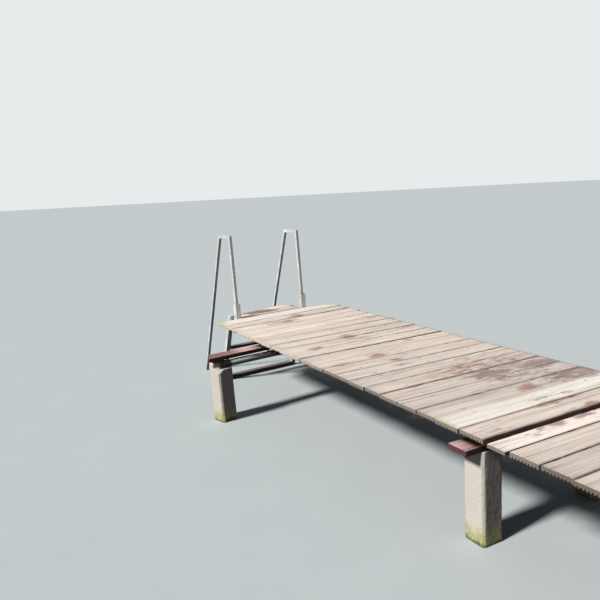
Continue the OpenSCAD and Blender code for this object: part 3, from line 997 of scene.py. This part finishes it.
def plank_tone(points, tone, bleach, fade):
    """A plank's brightness, pinkness and greyness: one for all its points, or one for each."""
    if bleach:
        beside = np.exp(-(((np.abs(points[:, 1]) - DECK_HALF) / BLEACHED_WIDE) ** 2))
        return np.array(tone) + np.outer(beside, BLEACHED)
    if fade:
        lake = np.clip((points[:, 0] - END_X + FADE_REACH) / FADE_REACH, 0, 1)
        return np.array(tone) + np.outer(lake * points[:, 1] / DECK_HALF, FADED)
    return tone


def gaping(x):
    """How far the listed joint at a place along the part gapes, or None away from all of them."""
    nearest = min(JOINTS, key=lambda joint: abs(END_X + joint - x))
    return JOINTS[nearest] if abs(END_X + nearest - x) < JOINT_NEAR else None


def trimmed(slab, local, faces, edge, seed):
    """Cuts a plank along the sides of its outline that slant. A seed makes the cut torn."""
    work = bmesh.new()
    kept = work.verts.layers.float.new("edge")
    verts = [work.verts.new(p) for p in local]
    for v, e in zip(verts, edge):
        v[kept] = e
    for f in faces:
        work.faces.new([verts[i] for i in f])
    corners = slab.local_outline
    for a, b in zip(corners, np.roll(corners, -1, axis=0)):
        side = (b - a) / np.linalg.norm(b - a)
        if min(abs(side)) >= STRAIGHT:
            rim = cut_off(work, (*a, 0), (side[1], -side[0], 0))
            # A long rip and a nearly square end are sawn in any case
            if seed is not None and abs(side[0]) > 0.25 and abs(side[1]) > 0.12 * abs(side[0]):
                tear(rim, seed)
    bmesh.ops.triangulate(work, faces=[f for f in work.faces if len(f.verts) > 4])
    work.verts.index_update()
    local = np.array([v.co for v in work.verts])
    edge = np.array([v[kept] for v in work.verts])
    faces = [tuple(v.index for v in f.verts) for f in work.faces]
    work.free()
    return local, faces, edge


def cut_off(work, place, outward):
    """Takes off what is outside a plane and closes the solid, and gives the edges of the cut."""
    everything = work.verts[:] + work.edges[:] + work.faces[:]
    plane = {"plane_co": place, "plane_no": outward}
    cut = bmesh.ops.bisect_plane(work, geom=everything, clear_outer=True, **plane)
    rim = [e for e in cut["geom_cut"] if isinstance(e, bmesh.types.BMEdge)]
    bmesh.ops.holes_fill(work, edges=rim, sides=0)
    return rim


def tear(rim, seed):
    """Draws the points of a cut back along the plank, each by its own amount."""
    for v in {v for e in rim for v in e.verts}:
        v.co.y -= TORN_DEEP * (1 + float(lattice(seed, np.array(v.co.x * 70), np.array(0.5))))


def board_tone(seed, x):
    """Brightness, pinkness and greyness of one board. The boards near the lake are paler."""
    rng = np.random.default_rng(seed + 900)
    lake = min(1.0, max(0.0, (x - END_X + PALE_FROM) / PALE_OVER))
    bright, pink, silver = rng.uniform(0.86, 1.04), rng.uniform(0.0, 0.6), rng.uniform(0.0, 0.3)
    return (bright + 0.11 * lake, pink * (1 - 0.6 * lake), silver * (1 - lake))


def make_planks(plans, materials, seed, on_deck=False):
    """Dresses every planned node with one weathered plank for each of its solids."""
    for node, slot, settings in plans:
        builder = Builder()
        for points in islands(node):
            seed += 7
            looks = {"tone": board_tone(seed, points[:, 0].mean()), "fade": True} if on_deck else {}
            plank(builder, Slab(points), seed, **{**looks, **settings})
        piece = builder.make(node + "_weathered")
        smooth_shade(piece)
        dress(piece, node, materials[slot])


def make_boards(materials):
    """Every deck board. The fourth run is the single one between the pale and the loose board."""
    plans = [(f"deck_boards_{k}", "deck_board", dict(ribs=RIBS)) for k in (1, 2, 3)]
    plans += [("deck_boards_4", "deck_board", dict(ribs=RIBS, tone=(1.02, 0.18, 0.03)))]
    plans += [(f"deck_boards_{k}", "deck_board", dict(ribs=RIBS)) for k in (5, 6, 7)]
    plans += [
        ("end_board", "bleached_board", dict(ribs=RIBS, wear=1.3, cuts="torn", tone=(1.05, 0.2, 0))),
        ("short_board_inner", "deck_board", dict(ribs=RIBS, wear=1.2, cuts="torn")),
        ("short_board_outer", "deck_board", dict(ribs=RIBS, wear=1.2, tone=(1.16, 0.1, 0))),
        ("pale_board", "new_board", dict(ribs=RIBS, wear=0.6, tone=(1.05, 0.0, 0))),
        ("loose_board", "plain_board", dict(wear=1.1, tone=(1.06, 0.2, 0))),
    ]
    make_planks(plans, materials, seed=11, on_deck=True)


def make_timbers(materials):
    """Cross planks, packers and treads."""
    plans = [("cross_plank_1", "stained_plank", dict(cuts="sawn", bleach=True))]
    plans += [(f"cross_plank_{k}", "stained_plank", dict(bleach=True)) for k in (2, 3)]
    plans += [(f"packer_{side}", "dark_timber", dict(wear=1.5)) for side in ("left", "right")]
    plans += [(f"ladder_tread_{place}", "tread_wood", dict(wear=1.3)) for place in ("upper", "lower")]
    make_planks(plans, materials, seed=700)


# Piers and pole

# Points of a CAD node that are no farther apart than this are one
WELD_NEAR = 0.00002
# Side of the piers' faces after remeshing, and the depth of their wide swellings and fine pits
CAST_FACE = 0.0052
CAST_SWELL = 0.0014
CAST_PITS = 0.0005
# The pole: its points along and round it, how far the peeled wood lies in from the full radius, and the
# lengths of its peeled part and of its black left end, which is painted shade, from the left
POLE_RINGS = 150
POLE_SIDES = 40
PEELED_IN = 0.0042
PEELED_LONG = 0.32
SHADED_END_LONG = 0.065


def add_weld(piece):
    """Joins the points that a CAD node's faces don't share."""
    weld = piece.modifiers.new("Weld", "WELD")
    weld.merge_threshold = WELD_NEAR


def remeshed(piece):
    """The object's mesh in small even faces, which also rounds its edges."""
    add_weld(piece)
    remesh = piece.modifiers.new("Remesh", "REMESH")
    remesh.mode = "VOXEL"
    remesh.voxel_size = CAST_FACE
    graph = bpy.context.evaluated_depsgraph_get()
    mesh = bpy.data.meshes.new_from_object(piece.evaluated_get(graph))
    piece.modifiers.clear()
    return mesh


def roughen(mesh, seed):
    """Makes a pier's faces uneven, but leaves its foot level and stays inside its own box."""
    points = np.array([v.co for v in mesh.vertices])
    normals = np.array([v.normal for v in mesh.vertices])
    x, y, z = points.T
    swell = CAST_SWELL * lattice(seed, x * 14 + y * 9, z * 8)
    pits = CAST_PITS * lattice(seed + 1, (x + y) * 75, z * 60)
    moved = points + normals * (swell + pits - CAST_SWELL)[:, None]
    moved = np.clip(moved, points.min(0), points.max(0))
    foot = z < z.min() + 0.002
    moved[foot, 2] = z[foot]
    mesh.vertices.foreach_set("co", moved.astype(np.float32).ravel())
    mesh.update()


def make_pier(node, seed, material):
    """The pier's own outline with softened edges and an uneven cast face."""
    piece = bpy.data.objects.new(node + "_cast", NODES[node].data.copy())
    bpy.context.collection.objects.link(piece)
    piece.data.materials.clear()
    piece.data = remeshed(piece)
    piece.data.name = piece.name
    roughen(piece.data, seed)
    piece.data.shade_smooth()
    dress(piece, node, material)


def make_piers(material):
    piers = sorted(node for node in NODES if node.startswith("pier_"))
    for seed, node in enumerate(piers, 40):
        make_pier(node, seed, material)


def pole_reach(radius, turn, y, bark):
    """Distance of the pole's surface from its middle: bark, knobs and scars on the peeled wood."""
    reach = radius - PEELED_IN + 0.0022 * bark
    reach += 0.0012 * lattice(8, np.cos(turn) * 2.2 + 9, y * 7.0)
    reach += 0.0008 * lattice(9, turn * 9, y * 30) * bark
    reach -= 0.0018 * np.clip(lattice(3, turn * 5, y * 2.2) - 0.35, 0, 1)
    # Its underside keeps the full radius, because it rests in the rebates
    return np.where(np.sin(turn) < -0.75, radius, reach)


def make_pole(material):
    """The round pole in the rebates, with bark left on its right part and its left end painted black as
    painted shade.
    """
    slab = Slab(islands("cross_pole")[0])
    radius = slab.height / 2
    turns = np.linspace(0, 2 * math.pi, POLE_SIDES, endpoint=False)
    y, turn = np.meshgrid(np.linspace(0, slab.length, POLE_RINGS), turns, indexing="ij")
    from_left = slab.length - y
    bark = np.clip((lattice(5, turn * 1.2, y * 4.5) + (from_left - PEELED_LONG) * 3.2) * 1.6, 0, 1)
    # How far the black of painted shade covers the left end
    end_shade = np.clip((SHADED_END_LONG - from_left) / 0.02 + 0.5, 0, 1)
    reach = pole_reach(radius, turn, y, bark)
    local = np.stack((radius + reach * np.cos(turn), y, radius + reach * np.sin(turn)), axis=2)
    local = local.reshape(-1, 3)
    builder = Builder()
    builder.add(
        slab.to_frame(local),
        [tuple(reversed(face)) for face in grid_faces(POLE_RINGS, POLE_SIDES)],
        grain_point=local - np.array([radius, 0, radius]),
        marks=np.column_stack((bark.reshape(-1), end_shade.reshape(-1), np.zeros(len(local)))),
    )
    piece = builder.make("cross_pole_weathered")
    smooth_shade(piece, 50)
    dress(piece, "cross_pole", material)


# Carried-over nodes

# Rounding of hard edges: on the sleeves' thin walls, on the other steel, and on the timbers
THIN_ROUND = 0.0006
STEEL_ROUND = 0.0022
TIMBER_ROUND = 0.003


def soften(node, width, segments=2):
    """Rounds a CAD node's hard edges for the render."""
    add_weld(NODES[node])
    bevel = NODES[node].modifiers.new("Bevel", "BEVEL")
    bevel.width = width
    bevel.segments = segments
    bevel.limit_method = "ANGLE"
    bevel.angle_limit = math.radians(20)
    bevel.harden_normals = True


def repaint(node, material):
    """Gives a CAD node one material in place of its own."""
    NODES[node].data.materials.clear()
    NODES[node].data.materials.append(material)


def finish_steel(material):
    """The handrails and the ladder, and the sleeves, whose thin walls take less rounding."""
    names = ["sleeve", "handrail", "ladder_arm", "ladder_stile", "step_arm"]
    for node in [f"{name}_{side}" for name in names for side in ("left", "right")]:
        soften(node, THIN_ROUND if node.startswith("sleeve") else STEEL_ROUND, 3)
        repaint(node, material)


def finish_beams(material, nodes):
    """The timbers under the deck."""
    for node in nodes:
        soften(node, TIMBER_ROUND)
        repaint(node, material)


# All of it


def main():
    aim_camera()
    make_floor()
    make_lamp()
    make_sky()
    bpy.context.scene.view_settings.view_transform = "Standard"
    materials = surface_woods()
    make_boards(materials)
    make_timbers(materials)
    make_piers(concrete())
    make_pole(bark_pole())
    finish_steel(galvanised())
    finish_beams(beam_wood("BearerWood", "X"), ["bearer_left", "bearer_middle", "bearer_right"])
    finish_beams(beam_wood("BeamWood", "Y"), ["end_beam"])


main()
